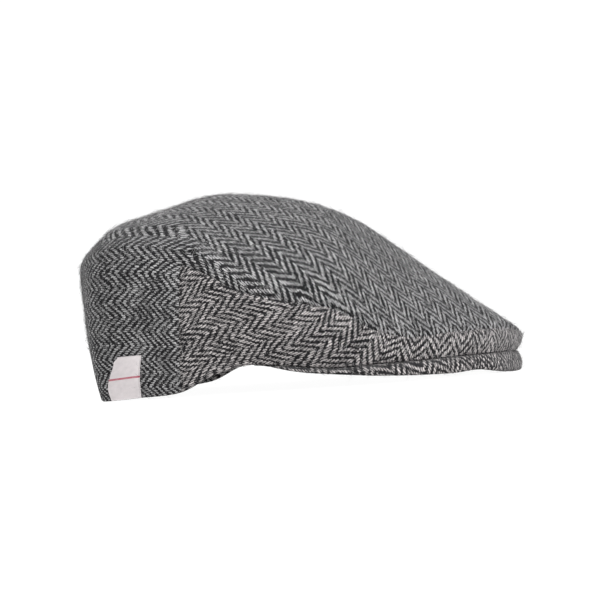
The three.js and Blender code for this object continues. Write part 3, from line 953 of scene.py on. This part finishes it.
def tweed(name, light_yarn, nap_and_sheen, column_sheen, front_light, softness, **weave_inputs):
    """Grey of upright and upward cloth, partly painted sheen; painted column sheen; painted front light."""
    material = bpy.data.materials.new(name)
    material.use_nodes = True
    tree = material.node_tree
    shader = tree.nodes["Principled BSDF"]
    weave = tree.nodes.new("ShaderNodeGroup")
    weave.node_tree = weave_tree
    for label, value in {"Softness": softness, **weave_inputs}.items():
        weave.inputs[label].default_value = value
    pale = mixed(tree, weave.outputs["Tone"], *light_yarn)
    # A light yarn darkens towards its edges: painted shade of the round yarn.
    edge = between(tree, weave.outputs["Roundness"], 0.0, 0.9, 0.1, 1.0)
    pale = mixed(tree, edge, DARK_YARN[1], pale)
    dark = mixed(tree, weave.outputs["Tone"], *DARK_YARN)
    yarns = mixed(tree, weave.outputs["Light"], dark, pale)
    normal = add_node(tree, "ShaderNodeNewGeometry").outputs["Normal"]
    facing = add_node(tree, "ShaderNodeSeparateXYZ", {0: normal}).outputs
    # Greying that grows where the cloth faces up: the nap's own grey plus painted sheen.
    nap_and_painted_sheen = between(tree, facing[2], 0.1, 0.8, nap_and_sheen[0], nap_and_sheen[1])
    nap_and_sheen_grey = maths(tree, "MULTIPLY", nap_and_painted_sheen, between(tree, weave.outputs["Patch"], 0.3, 0.7, 0.6, 1.4))
    straight = maths(tree, "SUBTRACT", 1.0, weave.outputs["Turned"])
    # Every second column greyed more where it faces up: painted sheen.
    painted_column_sheen = maths(tree, "MULTIPLY", straight, between(tree, facing[2], 0.1, 0.6, 0.0, column_sheen))
    nap_and_sheen_grey = maths(tree, "ADD", nap_and_sheen_grey, painted_column_sheen)
    # Cloth facing forwards is mixed towards a lighter grey: painted light from the front.
    forward = between(tree, facing[0], 0.5, 0.95, 0.0, front_light)
    cloth = mixed(tree, forward, mixed(tree, nap_and_sheen_grey, yarns, NAP), PAINTED_FRONT_LIGHT)
    tree.links.new(cloth, shader.inputs["Base Color"])
    rough = between(tree, weave.outputs["Tone"], 0.0, 1.0, 0.85, 0.98, "LINEAR")
    tree.links.new(rough, shader.inputs["Roughness"])
    shader.inputs["Specular IOR Level"].default_value = 0.12
    shader.inputs["Sheen Weight"].default_value = 0.1
    shader.inputs["Sheen Roughness"].default_value = 0.4
    shader.inputs["Sheen Tint"].default_value = (0.9, 0.9, 0.92, 1)
    bump = add_node(tree, "ShaderNodeBump", {
        "Strength": 0.6, "Distance": 0.0005, "Height": weave.outputs["Height"]})
    tree.links.new(bump.outputs["Normal"], shader.inputs["Normal"])
    return material


tweed_top = tweed("tweed_top", TOP_YARN, (0.03, 0.08), 0.3, 0.1, 0.4,
                  **{"Column width": 8.4, "Light share": -0.4})
tweed_side = tweed("tweed_side", SIDE_YARN, (0.03, 0.22), 0.0, 0.28, 0.4, **{"Light share": -0.22})
# The peak's copy has fewer light yarns: painted shade for the rim, which lies in shade.
tweed_peak_shaded = tweed("tweed_peak_shaded", SIDE_YARN, (0.05, 0.3), 0.0, 0.24, 0.5, **{"Light share": -0.5})
crown_cloth.data.materials.append(tweed_top)
for piece in (side_cloth_right, side_cloth_left):
    piece.data.materials.append(tweed_side)
peak_cloth.data.materials.append(tweed_peak_shaded)
print("tweed materials:", tweed_top.name, tweed_side.name, tweed_peak_shaded.name)

# %% [markdown]
# ## The label's ribbon
# The ribbon is a white satin weave with fine cross ribs and slightly grey patches. One plain red stripe
# is woven across it. Its ribs are too fine for a mesh, so they are a bump in the material.

# %% Label material
ribbon = bpy.data.materials.new("label_ribbon")
ribbon.use_nodes = True
tree = ribbon.node_tree
shader = tree.nodes["Principled BSDF"]
flat_place = add_node(tree, "ShaderNodeUVMap", uv_map="weave").outputs["UV"]
parts = add_node(tree, "ShaderNodeSeparateXYZ", {0: flat_place}).outputs
ribs = maths(tree, "SINE", maths(tree, "MULTIPLY", parts[1], 2 * math.pi / 0.55))
warp = maths(tree, "SINE", maths(tree, "MULTIPLY", parts[0], 2 * math.pi / 0.4))
cloudy = add_node(tree, "ShaderNodeTexNoise", {"Vector": flat_place, "Scale": 0.35, "Detail": 3.0},
                  noise_dimensions="2D").outputs[0]
tint = mixed(tree, cloudy, (0.8, 0.745, 0.755, 1), (1.0, 0.93, 0.94, 1))
stripe_at = maths(tree, "MULTIPLY_ADD", parts[0], 0.03, maths(tree, "ADD", parts[1], 13.2))
stripe = between(tree, maths(tree, "ABSOLUTE", stripe_at), 0.75, 0.4)
stripe = maths(tree, "MULTIPLY", stripe, between(tree, cloudy, 0.2, 0.8, 0.7, 1.0))
tint = mixed(tree, stripe, tint, (0.55, 0.055, 0.11, 1))
tree.links.new(tint, shader.inputs["Base Color"])
tree.links.new(between(tree, cloudy, 0.3, 0.7, 0.55, 0.75), shader.inputs["Roughness"])
weave_height = maths(tree, "MULTIPLY_ADD", ribs, 0.6, maths(tree, "MULTIPLY", warp, 0.4))
bump = add_node(tree, "ShaderNodeBump", {"Strength": 0.35, "Distance": 0.0002, "Height": weave_height})
tree.links.new(bump.outputs["Normal"], shader.inputs["Normal"])
shader.inputs["Sheen Weight"].default_value = 0.1
label_cloth.data.materials.append(ribbon)
print("label material:", ribbon.name)

# %% [markdown]
# ## Loose fibres
# Wool is never smooth: short fibres stand off the cloth and soften its outline. Each fibre is a bent
# ribbon, far thinner than a millimetre, that starts in the cloth, leans along it and ends in a point. A
# fixed seed gives the same fibres every time. Hair curves would do as well, but a plain mesh also goes
# into an export, so all fibres of one piece of cloth are a single mesh. None starts under the label, and
# none goes through the floor.

# %% Places and shapes of the fibres
FIBRE_WIDTH = 0.12
FIBRE_STEPS = np.array([0, 0.4, 0.75])
# Middle and half length of the label along x, and a height just above it.
LABEL_X, LABEL_HALF, LABEL_HIGH = -110, 18, 30
random = np.random.default_rng(12)


def fibre_roots(piece, count):
    """Random places on the outer faces of a piece with their normals, in millimetres."""
    mesh = piece.data
    mesh.calc_loop_triangles()
    corners = np.empty(len(mesh.loop_triangles) * 3, int)
    mesh.loop_triangles.foreach_get("vertices", corners)
    points = np.empty(len(mesh.vertices) * 3)
    mesh.vertices.foreach_get("co", points)
    triangles = 1000 * points.reshape(-1, 3)[corners.reshape(-1, 3)]
    square = np.cross(triangles[:, 1] - triangles[:, 0], triangles[:, 2] - triangles[:, 0])
    area = np.linalg.norm(square, axis=1)
    normal = square / np.maximum(area, 1e-9)[:, None]
    outside = (normal * (triangles.mean(1) - np.array([0, 0, 30]))).sum(1) > 0
    middle = triangles.mean(1) - np.array([MIDDLE_X, 0, 0])
    beside = np.abs(middle[:, 0] - LABEL_X) < LABEL_HALF
    covered = (middle[:, 1] < 0) & beside & (middle[:, 2] < LABEL_HIGH)
    chance = area * outside * ~covered
    pick = random.choice(len(area), count, p=chance / chance.sum())
    share = random.dirichlet((1, 1, 1), count)
    return (triangles[pick] * share[:, :, None]).sum(1), normal[pick]


def fibre_line(root, normal, way, side, shape, t):
    """Points along every fibre at share t of its length: out along the cloth, up and to one side."""
    length, rise, curl = shape
    out = (length * t)[:, None] * way + (curl * t * t)[:, None] * side
    return root + out + (rise * math.sin(1.8 * t) - 0.1)[:, None] * normal


def loose_fibres(name, piece, count):
    root, normal = fibre_roots(piece, count)
    way = unit(np.cross(normal, random.normal(size=(count, 3))))
    side = np.cross(normal, way)
    length = random.gamma(3.0, 1.1, count)
    shape = (length, length * random.uniform(0.04, 0.32, count), length * random.normal(0, 0.3, count))
    lean = random.uniform(0, math.pi, count)
    wide = np.cos(lean)[:, None] * side + np.sin(lean)[:, None] * normal
    wide = wide * FIBRE_WIDTH / 2
    points = []
    for t in FIBRE_STEPS:
        middle = fibre_line(root, normal, way, side, shape, t)
        points += [middle - wide * (1 - 0.6 * t), middle + wide * (1 - 0.6 * t)]
    points.append(fibre_line(root, normal, way, side, shape, 1.0))
    points = np.stack(points, axis=1)
    points[..., 2] = np.maximum(points[..., 2], 0.05)
    start = 7 * np.arange(count)[:, None]
    strips = ((0, 1, 3, 2), (2, 3, 5, 4), (4, 5, 6))
    faces = [f for strip in strips for f in (start + np.array(strip)).tolist()]
    tones = random.uniform(0, 1, (count, 3))
    uv = np.concatenate([np.repeat(tones, corners, axis=0) for corners in (4, 4, 3)])
    fuzz = new_mesh(name, points.reshape(-1, 3), faces, uv, shift=False)
    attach(fuzz, "root")
    return fuzz


print("fibres are", FIBRE_WIDTH, "mm wide")

# %% Fibre meshes and their material
wool = bpy.data.materials.new("loose_wool")
wool.use_nodes = True
tree = wool.node_tree
shader = tree.nodes["Principled BSDF"]
flat_place = add_node(tree, "ShaderNodeUVMap", uv_map="weave").outputs["UV"]
fibre_tone = add_node(tree, "ShaderNodeSeparateXYZ", {0: flat_place}).outputs
shade = between(tree, fibre_tone[0], 0.2, 0.9)
wool_colour = mixed(tree, shade, (0.05, 0.05, 0.052, 1), (0.6, 0.59, 0.59, 1))
tree.links.new(wool_colour, shader.inputs["Base Color"])
tree.links.new(between(tree, fibre_tone[1], 0.0, 1.0, 0.6, 0.9, "LINEAR"), shader.inputs["Roughness"])
shader.inputs["Specular IOR Level"].default_value = 0.2
shader.inputs["Sheen Weight"].default_value = 0.15
FIBRE_COUNTS = (
    ("crown_fibres", crown_cloth, 34000), ("side_fibres_right", side_cloth_right, 3400),
    ("side_fibres_left", side_cloth_left, 3400), ("peak_fibres", peak_cloth, 3000),
)
for name, piece, count in FIBRE_COUNTS:
    fuzz = loose_fibres(name, piece, count)
    fuzz.data.materials.append(wool)
    print(name, len(fuzz.data.polygons), "faces")

# %% [markdown]
# ## Floor and light
# A pale floor that curves up far behind the cap leaves no edge in the picture. A white surround gives
# soft light from all sides. Both look white to the camera but light the cap with only about half of that,
# so the dark yarns stay dark. A large lamp in front and a softer one above and behind model the form.

# %% Floor, world and lamps
# Glow for other rays and for the camera.
FLOOR_GLOW = (0.5, 0.97)
SURROUND_GLOW = (0.52, 1.05)
sweep_angles = np.linspace(0.1, math.pi / 2, 14)
sweep_line = [(-1.6, 0.0), (1.4, 0.0)]
sweep_line += [(1.4 + 0.6 * math.sin(a), 0.6 - 0.6 * math.cos(a)) for a in sweep_angles]
sweep_line += [(2.0, 2.6)]
floor_points = [(x, y, z) for y, z in sweep_line for x in (-3.0, 3.0)]
floor_mesh = bpy.data.meshes.new("floor")
floor_mesh.from_pydata(floor_points, [], [[2 * i, 2 * i + 1, 2 * i + 3, 2 * i + 2]
                                          for i in range(len(sweep_line) - 1)])
floor_mesh.polygons.foreach_set("use_smooth", [True] * len(floor_mesh.polygons))
floor = bpy.data.objects.new("floor", floor_mesh)
bpy.context.scene.collection.objects.link(floor)
pale = bpy.data.materials.new("pale_floor")
pale.use_nodes = True
shader = pale.node_tree.nodes["Principled BSDF"]
shader.inputs["Base Color"].default_value = (0.12, 0.12, 0.12, 1)
shader.inputs["Emission Color"].default_value = (1, 1, 1, 1)
seen = add_node(pale.node_tree, "ShaderNodeLightPath").outputs["Is Camera Ray"]
glow = between(pale.node_tree, seen, 0.0, 1.0, *FLOOR_GLOW, "LINEAR")
pale.node_tree.links.new(glow, shader.inputs["Emission Strength"])
shader.inputs["Roughness"].default_value = 0.9
shader.inputs["Specular IOR Level"].default_value = 0.1
floor_mesh.materials.append(pale)

world = bpy.data.worlds.new("studio")
world.use_nodes = True
world.node_tree.nodes["Background"].inputs["Color"].default_value = (1, 1, 1, 1)
seen = add_node(world.node_tree, "ShaderNodeLightPath").outputs["Is Camera Ray"]
glow = between(world.node_tree, seen, 0.0, 1.0, *SURROUND_GLOW, "LINEAR")
world.node_tree.links.new(glow, world.node_tree.nodes["Background"].inputs["Strength"])
bpy.context.scene.world = world


def lamp(name, place, aim, size, power):
    light = bpy.data.lights.new(name, "AREA")
    light.shape = "DISK"
    light.size = size
    light.energy = power
    thing = bpy.data.objects.new(name, light)
    thing.location = place
    thing.rotation_euler = (Vector(aim) - Vector(place)).to_track_quat("-Z", "Y").to_euler()
    bpy.context.scene.collection.objects.link(thing)
    return thing


lamp("key_lamp", (0.95, -1.15, 0.65), (0, 0, 0.06), 0.9, 22.5)
lamp("top_lamp", (-0.9, -0.2, 1.1), (0, 0, 0.06), 1.0, 6.5)
bpy.context.scene.view_settings.view_transform = "Standard"
